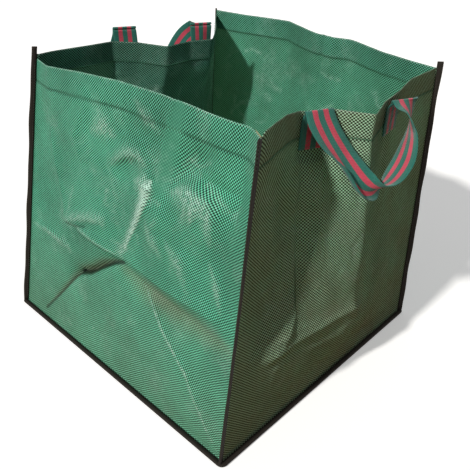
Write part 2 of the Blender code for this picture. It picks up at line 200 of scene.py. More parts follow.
CREASES = {
    "front": [
        line([(0.62, 0.3, 0), (0.49, 0.35, 0.007), (0.388, 0.338, 0.008), (0.29, 0.32, 0.008),
              (0.208, 0.307, 0.007), (0.098, 0.31, 0)], 0.024, 0.012),
        line([(0.99, 0.02, 0), (0.61, 0.08, -0.006), (0.32, 0.06, -0.005), (0.09, 0.03, 0)], 0.022),
        line([(0.66, 0.98, 0), (0.64, 0.7, 0.003), (0.63, 0.45, 0)], 0.01),
        line([(0.8, 0.9, 0), (0.77, 0.6, -0.003), (0.8, 0.35, 0)], 0.01),
        line([(0.12, 0.8, 0), (0.16, 0.6, 0.0025), (0.13, 0.42, 0)], 0.007),
    ],
    "right": [
        line([(0.468, 1, 0.006), (0.47, 0.895, 0.008), (0.475, 0.8, 0.006), (0.48, 0.66, 0)], 0.006),
        line([(0.42, 1, -0.005), (0.435, 0.88, -0.005), (0.452, 0.78, 0)], 0.01),
        line([(0.7, 0.8, 0), (0.6, 0.79, 0.006), (0.52, 0.83, 0)], 0.028),
        line([(0.84, 0.96, 0), (0.76, 0.72, -0.003), (0.8, 0.5, 0)], 0.008),
        line([(0.2, 0.6, 0), (0.34, 0.42, 0.004), (0.52, 0.36, 0)], 0.008),
    ],
    "rear": [
        line([(0.2, 0.95, 0), (0.17, 0.7, 0.004), (0.22, 0.5, 0)], 0.01),
        line([(0.75, 0.9, 0), (0.7, 0.6, -0.004), (0.55, 0.4, 0)], 0.008),
        line([(0.3, 0.35, 0), (0.5, 0.28, 0.006), (0.72, 0.36, 0)], 0.012),
    ],
    "left": [
        line([(0.17, 0.47, 0), (0.212, 0.47, 0.005), (0.278, 0.466, 0.011), (0.357, 0.46, 0.014),
              (0.432, 0.45, 0.011), (0.495, 0.44, 0.003)], 0.034, 0.013, 1, 0.6, 0.1),
        line([(0.24, 0.23, 0), (0.28, 0.273, -0.014), (0.333, 0.302, -0.021), (0.388, 0.35, -0.019),
              (0.443, 0.393, -0.012), (0.5, 0.427, 0)], 0.011, 0.003, 1, -0.45, 1.1),
        line([(0.105, 0.02, 0), (0.208, 0.17, -0.009), (0.28, 0.273, -0.01)],
             0.008, 0.003, 1, -0.35, 0.7),
        line([(0.195, 0.448, 0), (0.25, 0.458, -0.004), (0.32, 0.485, -0.003), (0.39, 0.5, 0)],
             0.003, 0.005),
        line([(0.19, 0.455, 0), (0.26, 0.495, 0.004), (0.34, 0.53, 0.005), (0.398, 0.547, 0.005),
              (0.42, 0.52, 0)], 0.012, 0.006, 2, 0.45, 0.8),
        line([(0.48, 0.44, 0), (0.56, 0.45, 0.007), (0.633, 0.453, 0.01), (0.77, 0.45, 0.01),
              (0.88, 0.45, 0.007), (0.98, 0.46, 0)], 0.03, 0.02),
        line([(0.46, 0.41, 0), (0.52, 0.395, -0.006), (0.6, 0.384, -0.011), (0.72, 0.384, -0.011),
              (0.84, 0.39, -0.01), (0.99, 0.395, -0.003)], 0.022, 0.028, 1, -0.34, 0.75),
        line([(0.575, 0.395, 0), (0.645, 0.345, 0.0022), (0.705, 0.292, 0.0022), (0.77, 0.253, 0.0022),
              (0.838, 0.203, 0.002), (0.927, 0.085, 0.001), (0.99, 0.003, 0)],
             0.0035, 0.0035, 1, 1.3, 0.26),
        line([(0.485, 0.445, 0), (0.53, 0.527, 0.003), (0.583, 0.623, 0.005), (0.615, 0.698, 0.008),
              (0.622, 0.745, 0.011), (0.62, 0.775, 0)], 0.016, 0.003, 1, 2.6, 1),
        line([(0.657, 1, 0.003), (0.645, 0.948, 0.004), (0.64, 0.873, 0.004), (0.642, 0.768, 0.003)],
             0.006, 0.012),
        line([(0.41, 0.735, 0), (0.44, 0.768, 0.004), (0.468, 0.797, 0.006), (0.505, 0.817, 0.006),
              (0.547, 0.82, 0.005), (0.6, 0.79, 0)], 0.018, 0.012, 2, 0.35, 0.45),
        line([(0.42, 0.72, 0), (0.432, 0.74, -0.002), (0.478, 0.772, -0.004), (0.525, 0.797, -0.003),
              (0.575, 0.79, 0)], 0.005, 0.018, 2),
        line([(0.65, 0.745, 0), (0.693, 0.797, -0.008), (0.73, 0.838, -0.009), (0.768, 0.875, -0.007),
              (0.81, 0.92, 0)], 0.02, 0.014, 2),
        line([(0.72, 0.835, -0.004), (0.78, 0.83, -0.008), (0.85, 0.822, -0.008), (0.96, 0.83, 0)],
             0.016, 0.012),
        line([(0.68, 0.77, 0), (0.73, 0.795, 0.006), (0.78, 0.788, 0.008), (0.823, 0.778, 0.008),
              (0.845, 0.74, 0.006), (0.863, 0.66, 0)], 0.01, 0.03, 2, 0.6, 0.5),
        line([(0.78, 0.7, 0), (0.792, 0.743, 0.003), (0.805, 0.775, 0)], 0.008, 0.008, 2, 0.8, 0.7),
        line([(0.32, 0.83, 0), (0.38, 0.863, 0.005), (0.44, 0.84, 0)], 0.02, 0.02, 2, 0.55, 0.7),
        line([(0.53, 0.735, 0), (0.585, 0.757, 0.004), (0.63, 0.752, 0)], 0.012, 0.012, 2, 0.8, 0.7),
        line([(0.1, 0.86, 0), (0.12, 0.782, 0.004), (0.15, 0.677, 0.005), (0.198, 0.537, 0.004),
              (0.215, 0.45, 0)], 0.012),
        line([(0, 0.365, 0), (0.04, 0.374, 0.004), (0.1, 0.38, 0.006), (0.18, 0.372, 0.006),
              (0.25, 0.345, 0)], 0.004, 0.014, 1, 0.5, 0.4),
        line([(0.7, 0.62, 0), (0.76, 0.57, 0.005), (0.8, 0.48, 0)], 0.014, 0.014, 2, 0.45, 0.6),
        line([(0.86, 0.62, 0), (0.9, 0.55, 0.004), (0.93, 0.48, 0)], 0.01, 0.01, 2, 0.45, 0.6),
        line([(0.62, 0.66, 0), (0.66, 0.6, 0.005), (0.7, 0.54, 0)], 0.014, 0.014, 2, 0.45, 0.6),
        line([(0.5, 0.97, 0), (0.56, 0.93, 0.004), (0.62, 0.9, 0)], 0.012, 0.012, 2, 0.4, 0.6),
        line([(0.3, 0.93, 0), (0.25, 0.8, 0.004), (0.3, 0.66, 0)], 0.009),
    ],
}
# The front's bulging facet: height share, width share of its left ridge and of its right edge, and how far
# the ridge is pushed out
FRONT_FACET = [
    (0.27, 0.16, 0.5, 0), (0.31, 0.18, 0.5, 0.009), (0.35, 0.205, 0.5, 0.017),
    (0.395, 0.235, 0.5, 0.0185), (0.547, 0.3, 0.5, 0.0175), (0.613, 0.325, 0.5, 0.017),
    (0.688, 0.345, 0.495, 0.016), (0.74, 0.33, 0.49, 0.0145), (0.8, 0.3, 0.486, 0.013),
    (0.86, 0.28, 0.484, 0.008), (0.93, 0.27, 0.482, 0),
]
FACET_FOOT = 0.13
# Bands of painted light on the cloth: above zero the weave is painted even and flat, as under a sheen,
# below zero a painted shadow line, deep and dark: half width, how much, then points
SHEEN_AND_SHADOW_BANDS = {
    "left": [
        (0.009, 1, [(0.683, 1.02), (0.667, 0.94), (0.657, 0.86), (0.651, 0.765)]),
        (0.003, -1, [(0.275, 0.268), (0.333, 0.299), (0.388, 0.347), (0.443, 0.39), (0.5, 0.425)]),
        (0.0024, -0.8, [(0.275, 0.268), (0.208, 0.17), (0.118, 0.033)]),
        (0.002, -0.5, [(0.205, 0.452), (0.25, 0.461), (0.32, 0.488)]),
    ],
}

# Route of each free loop: along the fold line, down its hanging plane, the turn of the strap and the curl of
# its edge in degrees
LOOP_ROUTES = {
    "front": [
        (-0.0606, 0, 0, 0), (-0.059, 0.012, 0, 0), (-0.051, 0.034, 0, 30), (-0.0355, 0.064, 4, 120),
        (-0.019, 0.09, 30, 150), (-0.005, 0.0985, 66, 150), (0.009, 0.097, 90, 100),
        (0.0265, 0.089, 100, 20), (0.045, 0.0715, 98, 0), (0.058, 0.048, 80, 0), (0.0625, 0.03, 58, 0),
        (0.0635, 0.0135, 36, 0), (0.0606, 0, 0, 0),
    ],
    "rear": [
        (-0.0653, 0, 0, 0), (-0.061, 0.008, 8, 0), (-0.042, 0.026, 30, 0), (-0.026, 0.06, 40, 0),
        (-0.012, 0.11, 60, 0), (0.008, 0.148, 90, 0), (0.03, 0.138, 90, 0), (0.052, 0.095, 50, 0),
        (0.069, 0.045, 10, 0), (0.0653, 0.012, 0, 0), (0.0653, 0, 0, 0),
    ],
}
# Half of the webbing's section, from its edge to its middle: shares of its half width and half thickness
STRAP_PROFILE = [(1, 0.35), (0.965, 0.95), (0.8, 1), (0.62, 0.97), (0.45, 0.92), (0.22, 0.95), (0, 0.92)]
CURL_FROM = -0.06 * STRAP_WIDTH


def unit(vectors):
    return vectors / np.linalg.norm(vectors, axis=-1, keepdims=True)


def travelled(points):
    """The distance along a path up to each of its points."""
    steps = np.linalg.norm(np.diff(points, axis=0), axis=1)
    return np.concatenate([[0.0], np.cumsum(steps)])


def base_corner(corner):
    side = CORNER_SIDE[corner]
    return np.array([side[0] * WIDTH / 2, side[1] * DEPTH / 2, PANEL_FOOT_Z])


def rim_corner(corner):
    lean = np.array(LEAN[corner])
    rise = math.sqrt(HEIGHT**2 - lean @ lean)
    return base_corner(corner) + np.array([*lean, rise])


def seam_line(corner, height):
    return base_corner(corner) + height * (rim_corner(corner) - base_corner(corner))


def seam_slope(corner):
    run = rim_corner(corner) - base_corner(corner)
    return run / run[2]


def seam_out(corner):
    x, y = CORNER_SIDE[corner]
    turn = math.radians(SEAM_TURN.get(corner, 0.0))
    cos, sin = math.cos(turn), math.sin(turn)
    return unit(np.array([x * cos - y * sin, x * sin + y * cos, 0.0]))


def panel_out(side, height=1.0):
    start, end = (seam_line(corner, height) for corner in PANEL_ENDS[side])
    run = end - start
    return unit(np.array([run[1], -run[0], 0.0]))


def panel_length(side):
    return WIDTH if side in ("front", "rear") else DEPTH


def fold_lines(side, height):
    share = min(height / (1.0 - SEWN / HEIGHT), 1.0)
    at, out = [0.0], [0.0]
    for fold in FOLDS[side]:
        levels, places, offsets = zip(*fold)
        at.append(np.interp(share, levels, places))
        out.append(np.interp(share, levels, offsets))
    return np.array(at + [1.0]), np.array(out + [0.0])


def fold_levels(side):
    levels = {point[0] for fold in FOLDS[side] for point in fold}
    return sorted(level * (1.0 - SEWN / HEIGHT) for level in levels)


def panel_surface(side, widths, heights):
    """Points on the middle of a panel's cloth, for width shares and height shares."""
    levels = np.array([*fold_levels(side), 1.0])
    out_at = np.array([fold_lines(side, level)[1] for level in levels])
    flat, climb = np.diff(levels)[:, None] * HEIGHT, np.diff(out_at, axis=0)
    falls = np.cumsum(flat - np.sqrt(flat**2 - climb**2), axis=0)
    dips = np.vstack([np.zeros(out_at.shape[1]), falls])
    points = np.zeros((len(heights), len(widths), 3))
    for row, height in enumerate(heights):
        at, offsets = fold_lines(side, height)
        runs = np.sqrt((np.diff(at) * panel_length(side)) ** 2 - np.diff(offsets) ** 2)
        run = np.concatenate([[0.0], np.cumsum(runs)])
        share = np.interp(widths, at, run / run[-1])
        start, end = (seam_line(corner, height) for corner in PANEL_ENDS[side])
        points[row] = start + share[:, None] * (end - start)
        points[row] += np.interp(widths, at, offsets)[:, None] * panel_out(side, height)
        dip = [np.interp(height, levels, column) for column in dips.T]
        points[row][:, 2] -= np.interp(widths, at, dip)
        lift = height * np.interp(widths, *zip(*RIM_LIFT[side]))
        start_slope, end_slope = (seam_slope(corner) for corner in PANEL_ENDS[side])
        points[row] += lift[:, None] * (start_slope + share[:, None] * (end_slope - start_slope))
    return points


def rim_rise(side, widths, heights):
    """How much the slack top of a cloth is raised, for width shares and height shares."""
    if side not in RIM_RISE:
        return 0.0
    rise = np.interp(widths, *zip(*RIM_RISE[side]))
    return np.clip((np.array(heights) - RISE_FROM) / (1 - RISE_FROM), 0, 1)[:, None] * rise


def normals(points):
    """Outward unit normals of a grid of points that runs anticlockwise and upward."""
    return unit(np.cross(np.gradient(points, axis=1), np.gradient(points, axis=0)))


def soften(points, passes):
    """Rounds the folds of a grid, with its outline kept."""
    for _ in range(passes):
        points[:, 1:-1] = 0.25 * points[:, :-2] + 0.5 * points[:, 1:-1] + 0.25 * points[:, 2:]
        points[1:-1] = 0.25 * points[:-2] + 0.5 * points[1:-1] + 0.25 * points[2:]
    return points


def ripple(widths, heights, seed, waves=14, shortest=0.035, longest=0.14):
    """Smooth random height over a panel, about one unit deep."""
    random = np.random.default_rng(seed)
    u, v = np.meshgrid(widths, heights)
    total = np.zeros_like(u)
    for _ in range(waves):
        length = random.uniform(shortest, longest)
        angle = random.uniform(0, math.pi)
        phase = random.uniform(0, 2 * math.pi)
        place = u * WIDTH * math.cos(angle) + v * HEIGHT * math.sin(angle)
        total += length / longest * np.sin(2 * math.pi / length * place + phase)
    return total / math.sqrt(waves)


def crease(across, up, spreads, sharpness, points):
    """A fold's height over a panel, the distance to its line in spreads, and how deep it is at its line."""
    nearest = np.full(across.shape, np.inf)
    height = np.zeros(across.shape)
    spread = np.full(across.shape, spreads[0])
    for (start_x, start_y, start_out), (end_x, end_y, end_out) in zip(points, points[1:]):
        run_x, run_y = end_x - start_x, end_y - start_y
        share = ((across - start_x) * run_x + (up - start_y) * run_y) / (run_x**2 + run_y**2)
        share = np.clip(share, 0.0, 1.0)
        aside_x, aside_y = across - start_x - share * run_x, up - start_y - share * run_y
        away = np.hypot(aside_x, aside_y)
        closer = away < nearest
        height[closer] = (start_out + (end_out - start_out) * share)[closer]
        on_left = run_x * aside_y - run_y * aside_x > 0
        spread[closer] = np.where(on_left, spreads[0], spreads[1])[closer]
        nearest = np.minimum(nearest, away)
    return height * np.exp(-(nearest / spread) ** sharpness), nearest / spread, np.abs(height)


def creases(side, widths, heights, seed):
    """All the creases of a panel, those seen in the photograph and small ones over the whole cloth: the
    cloth's stand-out, how pale it is with wear and painted highlight (how much painted shade, below zero),
    and its bands of painted sheen and painted shadow lines."""
    length = panel_length(side)
    across, up = np.meshgrid(widths * length, heights * HEIGHT)
    total, wear_and_painted_light, sheen_and_shadow_lines = (np.zeros_like(across) for _ in range(3))
    for points, spreads, sharpness, pale_and_shade, reach in CREASES[side]:
        placed = [(u * length, v * HEIGHT, out) for u, v, out in points]
        height, away, depth = crease(across, up, spreads, sharpness, placed)
        total += height
        share = depth / depth.max()
        mark = pale_and_shade * np.exp(-(away / reach / (0.3 + 0.7 * share)) ** 2) * np.sqrt(share)
        wear_and_painted_light = np.where(np.abs(mark) > np.abs(wear_and_painted_light), mark, wear_and_painted_light)
    random = np.random.default_rng(seed)
    for _ in range(SMALL_CREASES):
        middle = random.uniform((0.06, 0.06), (0.94, 0.88)) * (length, HEIGHT)
        angle = random.uniform(0, math.pi)
        reach = random.uniform(0.012, 0.045)
        bend = random.uniform(-0.5, 0.5)
        out = random.choice((-1, 1)) * random.uniform(0.0006, 0.0020)
        run = np.array([math.cos(angle), math.sin(angle)]) * reach
        aside = np.array([-run[1], run[0]]) * bend
        points = [(*(middle - run), 0.0), (*(middle + aside), out), (*(middle + run), 0.0)]
        height, away, depth = crease(across, up, random.uniform(0.003, 0.011, 2), 1.0, points)
        total += height
        faint = random.uniform(0, 0.3) * np.exp(-(away / 0.5) ** 2) * (depth > 0.0004)
        wear_and_painted_light = np.where(wear_and_painted_light < 0, wear_and_painted_light, np.maximum(wear_and_painted_light, faint))
    for half_width, much, points in SHEEN_AND_SHADOW_BANDS.get(side, []):
        placed = [(u * length, v * HEIGHT, 0.0) for u, v in points]
        away = crease(across, up, (half_width, half_width), 1.0, placed)[1]
        sheen_and_shadow_lines += much * np.clip(1.6 - away, 0, 1)
    return total, wear_and_painted_light, sheen_and_shadow_lines


def front_facet(widths, heights):
    """How far the front's bulging facet is pushed out."""
    added = np.zeros((len(heights), len(widths)))
    levels, lefts, rights, outs = zip(*FRONT_FACET)
    for row, height in enumerate(heights):
        left, right, out = (np.interp(height, levels, column) for column in (lefts, rights, outs))
        added[row] = out * np.interp(widths, (left - FACET_FOOT, left, right), (0.0, 1.0, 0.0))
    return added


# Meshes

def new_object(name, data):
    made = bpy.data.objects.new(name, data)
    bpy.context.scene.collection.objects.link(made)
    return made


def grid_faces(rows, columns, closed=False, caps=False):
    """The faces of a grid of points, each row joined end to end where it is closed."""
    faces = []
    for row in range(rows - 1):
        for column in range(columns if closed else columns - 1):
            after = (column + 1) % columns
            faces.append((row * columns + column, row * columns + after,
                          (row + 1) * columns + after, (row + 1) * columns + column))
    if caps:
        faces.append(tuple(range(columns))[::-1])
        faces.append(tuple((rows - 1) * columns + column for column in range(columns)))
    return faces


def smooth_object(name, points, faces):
    data = bpy.data.meshes.new(name)
    data.from_pydata(np.reshape(points, (-1, 3)).tolist(), [], faces)
    data.polygons.foreach_set("use_smooth", [True] * len(data.polygons))
    return new_object(name, data)


def cloth_object(name, points, places, closed=False, caps=False, wraps=False):
    """A piece from a grid of points, which keeps each corner's place on the flat cloth, in metres, for the
    materials. Where it wraps, the places run on past the start of its closed rows."""
    rows, columns = points.shape[:2]
    made = smooth_object(name, points, grid_faces(rows, columns, closed, caps))
    data = made.data
    flat = np.zeros((len(data.loops), 3))
    flat[:, :2] = places.reshape(-1, 2)[[loop.vertex_index for loop in data.loops]]
    if wraps:
        full = places[:, :, 0].max()
        for polygon in data.polygons:
            part = flat[polygon.loop_start:polygon.loop_start + polygon.loop_total, 0]
            part[part.max() - part > full / 2] += full * (1 + 1 / columns)
    layer = data.attributes.new("cloth", "FLOAT_VECTOR", "CORNER")
    layer.data.foreach_set("vector", flat.ravel())
    return made


def dress(made, material, body="bag", node=None):
    """Gives a piece its material, its body, the node that it replaces, if any."""
    made.data.materials.append(material)
    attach(made, body)
    if node:
        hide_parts(node)
    return made


def stitch(start, end, normal, size):
    """One stitch of thread that dives into the cloth at both ends."""
    run = end - start
    side = unit(np.cross(run, normal))
    rings = []
    for share, lift, width in STITCH_SHAPE:
        centre = start + run * share + normal * lift * size
        angles = [step * math.pi / 3 for step in range(6)]
        rings.append([centre + (side * math.cos(angle) + normal * math.sin(angle)) * size / 2 * width
                      for angle in angles])
    return np.array(rings)


def stitch_row(path, path_normals, pitch=HEM_PITCH, size=THREAD_SIZE):
    """Stitches laid along a line of points."""
    run = travelled(path)

    def at(place, columns):
        return np.array([np.interp(place, run, columns[:, axis]) for axis in range(3)])

    made = []
    for index in range(int(run[-1] / pitch)):
        start, end = at(index * pitch, path), at((index + STITCH_SHARE) * pitch, path)
        normal = unit(at((index + STITCH_SHARE / 2) * pitch, path_normals))
        made.append(stitch(start, end, normal, size))
    return made


def thread_object(name, stitches, material):
    """One piece from all the stitches of a seam."""
    rows, columns = stitches[0].shape[:2]
    faces = np.array(grid_faces(rows, columns, closed=True))
    count = rows * columns
    caps = [range(columns - 1, -1, -1), range(count - columns, count)]
    all_faces = []
    for first in range(0, len(stitches) * count, count):
        all_faces += (faces + first).tolist()
        all_faces += [[first + corner for corner in cap] for cap in caps]
    return dress(smooth_object(name, stitches, all_faces), material)


# Materials

def node(tree, kind, inputs=None, **settings):
    made = tree.nodes.new(kind)
    for key, value in settings.items():
        setattr(made, key, value)
    for key, value in (inputs or {}).items():
        if isinstance(value, bpy.types.NodeSocket):
            tree.links.new(value, made.inputs[key])
        else:
            made.inputs[key].default_value = value
    return made


def calc(tree, operation, *inputs, clamp=False):
    made = node(tree, "ShaderNodeMath", dict(enumerate(inputs)), operation=operation, use_clamp=clamp)
    return made.outputs[0]


def mix(tree, factor, first, second, blend="MIX"):
    inputs = {0: factor, 6: first, 7: second}
    return node(tree, "ShaderNodeMix", inputs, data_type="RGBA", blend_type=blend).outputs[2]


def noise(tree, place, scale, detail, roughness=0.5):
    inputs = {"Vector": place, "Scale": scale, "Detail": detail, "Roughness": roughness}
    return node(tree, "ShaderNodeTexNoise", inputs).outputs["Fac"]


def ramp(tree, value, low, high, at_low, at_high):
    """Turns a value between low and high into one between at_low and at_high, held at both ends."""
    inputs = {0: value, 1: low, 2: high, 3: at_low, 4: at_high}
    return node(tree, "ShaderNodeMapRange", inputs).outputs[0]


def bump(tree, height, strength, distance, **inputs):
    inputs.update({"Height": height, "Strength": strength, "Distance": distance})
    return node(tree, "ShaderNodeBump", inputs).outputs[0]


def sine(tree, place, period, shift=0.0):
    return calc(tree, "SINE", calc(tree, "MULTIPLY_ADD", place, 2 * math.pi / period, shift))


def stored(tree, name):
    """A vector that is kept on the mesh, and its three parts."""
    vector = node(tree, "ShaderNodeAttribute", attribute_name=name).outputs["Vector"]
    return vector, *node(tree, "ShaderNodeSeparateXYZ", {0: vector}).outputs


def grey(tree, value):
    return node(tree, "ShaderNodeCombineColor", {0: value, 1: value, 2: value}).outputs[0]


def rgb(red, green, blue):
    """A colour from its screen values, 0 to 255."""
    def linear(value):
        value /= 255
        return value / 12.92 if value <= 0.04045 else ((value + 0.055) / 1.055) ** 2.4
    return (linear(red), linear(green), linear(blue), 1.0)


def darker(colour, share):
    return tuple(part * share for part in colour[:3]) + (1.0,)


def new_material(name):
    made = bpy.data.materials.new(name)
    made.use_nodes = True
    made.node_tree.nodes.clear()
    return made, made.node_tree


def principled(tree, colour, roughness, others):
    inputs = {"Base Color": colour, "Roughness": roughness, **others}
    return node(tree, "ShaderNodeBsdfPrincipled", inputs).outputs[0]


def show(tree, surface):
    node(tree, "ShaderNodeOutputMaterial", {0: surface})


def cloth_material(name, light, dark, glow, dust_and_shade, gloss=1.0):
    """Coated one-over-one weave of flat tapes: dots where one set of tapes crosses over the other.
    dust_and_shade is the share of the cloth under a brown dusting, which stands also for painted shade."""
    made, tree = new_material(name)
    place, *parts = stored(tree, "cloth")
    bend = calc(tree, "MULTIPLY", noise(tree, place, 22.0, 2.0), 0.9)
    across, along = (sine(tree, part, 2 * pitch, bend) for part, pitch in zip(parts, TAPE_PITCH))
    over = calc(tree, "MULTIPLY_ADD", calc(tree, "MULTIPLY", across, along), 2.2, 0.5, clamp=True)
    edges = []
    for tape in (across, along):
        from_middle = calc(tree, "SUBTRACT", 1.0, calc(tree, "ABSOLUTE", tape))
        edges.append(calc(tree, "POWER", from_middle, 3.0))
    gaps = calc(tree, "ADD", *edges, clamp=True)
    colour = mix(tree, over, dark, light)
    colour = mix(tree, calc(tree, "MULTIPLY", gaps, 0.3), colour, darker(dark, 0.35))
    blotches = ramp(tree, noise(tree, place, 9.0, 6.0, 0.62), 0.3, 0.7, 0.66, 1.20)
    colour = mix(tree, 1.0, colour, grey(tree, blotches), "MULTIPLY")

    _, wear_and_painted_light, painted_shade, sheen_and_shadow_lines = stored(tree, "marks")
    # painted sheen: the weave painted even where a sheen would hide it
    even = calc(tree, "MULTIPLY", sheen_and_shadow_lines, 0.8, clamp=True)
    colour = mix(tree, even, colour, mix(tree, 0.4, dark, light))
    # painted sheen: pale patches at random where light would catch the cloth
    painted_sheen_patches = ramp(tree, noise(tree, place, 16.0, 6.0, 0.6), 0.52, 0.72, 0.0, 0.25)
    flecks = ramp(tree, noise(tree, place, 190.0, 3.0), 0.36, 0.60, 0.25, 1.3)
    # pale wear and painted highlight along the creases, with the painted sheen patches, broken into dots
    pale_wear_and_highlight = calc(tree, "MULTIPLY", calc(tree, "ADD", wear_and_painted_light, painted_sheen_patches), flecks)
    pale_wear_and_highlight = calc(tree, "MULTIPLY", pale_wear_and_highlight, calc(tree, "MULTIPLY_ADD", over, 0.8, 0.2), clamp=True)
    colour = mix(tree, pale_wear_and_highlight, colour, PALE_WEAR_AND_HIGHLIGHT)
    # brown dusting at random, browner towards the foot, plus the painted shade of the creases
    settled = ramp(tree, noise(tree, place, 5.0, 7.0, 0.7), 0.30, 0.75, dust_and_shade * 0.5, dust_and_shade * 1.5)
    low = ramp(tree, parts[1], 0.0, 0.20, 0.17, 0.0)
    dust_and_painted_shade = calc(tree, "ADD", calc(tree, "ADD", settled, low), painted_shade, clamp=True)
    colour = mix(tree, dust_and_painted_shade, colour, mix(tree, over, darker(DUST_AND_SHADE_BROWN, 0.16), DUST_AND_SHADE_BROWN))
    # painted shadow lines in the deepest creases and along the hem's groove
    deep = calc(tree, "MULTIPLY", sheen_and_shadow_lines, -0.85, clamp=True)
    colour = mix(tree, deep, colour, darker(dark, 0.2))

    relief = bump(tree, calc(tree, "MULTIPLY_ADD", gaps, -0.6, over), 1.0, 0.0005)
    dented = bump(tree, noise(tree, place, 55.0, 5.0, 0.55), 0.5, 0.006, Normal=relief)
    shine = calc(tree, "MULTIPLY_ADD", over, 0.14 * gloss, 0.02 * gloss)
    coat = calc(tree, "MULTIPLY", over, 0.06 * gloss)
    surface = principled(tree, colour, 0.34, {"Normal": dented, "Specular IOR Level": shine,
                                              "Coat Weight": coat, "Coat Roughness": 0.24})
    through_colour = mix(tree, over, darker(glow, 0.55), glow)
    through = node(tree, "ShaderNodeBsdfTranslucent", {"Color": through_colour, "Normal": relief}).outputs[0]
    show(tree, node(tree, "ShaderNodeMixShader", {0: GLOW_SHARE, 1: surface, 2: through}).outputs[0])
    return made


def tape_material(name, colour, edge):
    """Binding tape with a fine rib."""
    made, tree = new_material(name)
    place, _, along, _ = stored(tree, "cloth")
    rib = sine(tree, along, 0.0011)
    fibres = calc(tree, "MULTIPLY", noise(tree, place, 30.0, 3.0), noise(tree, place, 900.0, 3.0))
    tone = calc(tree, "MULTIPLY_ADD", rib, 0.12, fibres, clamp=True)
    relief = bump(tree, rib, 0.35, 0.0002)
    shade = mix(tree, tone, colour, edge)
    show(tree, principled(tree, shade, 0.8, {"Normal": relief, "Specular IOR Level": 0.25}))
    return made


def webbing_material(name, ground, stripe, pale):
    """Flat woven webbing with two stripes along it. The cloth's places run across and along."""
    made, tree = new_material(name)
    place, across, along, _ = stored(tree, "cloth")
    off_middle = calc(tree, "ABSOLUTE", across)
    from_stripe = calc(tree, "ABSOLUTE", calc(tree, "SUBTRACT", off_middle, STRAP_WIDTH * 0.19))
    ragged = calc(tree, "MULTIPLY", sine(tree, along, WARP_PERIOD), 0.0003)
    inside = calc(tree, "SUBTRACT", STRAP_WIDTH * 0.088, calc(tree, "ADD", from_stripe, ragged))
    in_stripe = calc(tree, "MULTIPLY_ADD", inside, 4000.0, 0.5, clamp=True)
    slant = calc(tree, "MULTIPLY", off_middle, math.pi / WARP_PERIOD)
    weft = sine(tree, along, WEFT_PERIOD, slant)
    checks = calc(tree, "MULTIPLY", sine(tree, across, WARP_PERIOD), weft)
    fleck = calc(tree, "MULTIPLY_ADD", noise(tree, place, 500.0, 2.0), 0.9, -0.36)
    lighter = calc(tree, "MULTIPLY_ADD", checks, 0.28, fleck, clamp=True)
    colour = mix(tree, lighter, mix(tree, in_stripe, ground, stripe), pale, "SCREEN")
    shade = ramp(tree, noise(tree, place, 40.0, 2.0), 0.3, 0.7, 0.8, 1.1)
    colour = mix(tree, 1.0, colour, grey(tree, shade), "MULTIPLY")
    relief = bump(tree, checks, 0.6, 0.0004)
    show(tree, principled(tree, colour, 0.7, {"Normal": relief, "Specular IOR Level": 0.3,
                                              "Sheen Weight": 0.25, "Sheen Roughness": 0.5}))
    return made


def thread_material(name, colour):
    made, tree = new_material(name)
    place = node(tree, "ShaderNodeTexCoord").outputs["Object"]
    shade = mix(tree, noise(tree, place, 1500.0, 2.0), darker(colour, 0.6), colour)
    show(tree, principled(tree, shade, 0.65, {}))
    return made


WARP_PERIOD = 0.0016
WEFT_PERIOD = 0.0022
# brown of dust, used also for painted shade and the ground's painted reflection
DUST_AND_SHADE_BROWN = rgb(180, 150, 122)
# pale colour of tapes whitened along folds, used also for painted highlights
PALE_WEAR_AND_HIGHLIGHT = rgb(206, 250, 234)
# pale wear and painted highlight along the rolled rim
RIM_WEAR_AND_HIGHLIGHT = 0.5
GLOW_SHARE = 0.08        # light that comes through the cloth
GLOW = rgb(120, 205, 140)
# translucent colour of the rear wall's painted-shade copy
SHADED_GLOW = rgb(100, 160, 120)
CLOTH = cloth_material("woven_cloth", rgb(112, 224, 186), rgb(0, 30, 22), GLOW, 0.04)
# Copies of the cloth with light painted in: darker copies for the painted shade of the right and rear walls,
# and a lighter, browner copy for the front's lit facet and the ground's painted reflection in its shade
SIDE_LIT_AND_SHADED_CLOTH = {
    "right": cloth_material("right_shaded_cloth", rgb(102, 196, 164), rgb(0, 30, 22), GLOW, 0.06),
    "front": cloth_material("front_lit_and_shaded_cloth", rgb(176, 255, 214), rgb(0, 22, 16), GLOW, 0.40, gloss=0.0),
    "rear": cloth_material("rear_shaded_cloth", rgb(88, 172, 150), rgb(0, 34, 28), SHADED_GLOW, 0.12, gloss=0.5),
    "left": CLOTH,
}
BINDING = tape_material("binding_tape", rgb(25, 21, 17), rgb(52, 45, 38))
WEBBING = webbing_material("webbing", rgb(14, 106, 92), rgb(206, 62, 88), rgb(90, 110, 110))
THREAD = thread_material("green_thread", rgb(60, 130, 96))
TAPE_THREAD = thread_material("dark_thread", rgb(60, 54, 46))
CREAM = tape_material("cream_tape", rgb(196, 178, 138), rgb(226, 212, 178))


# Cloth

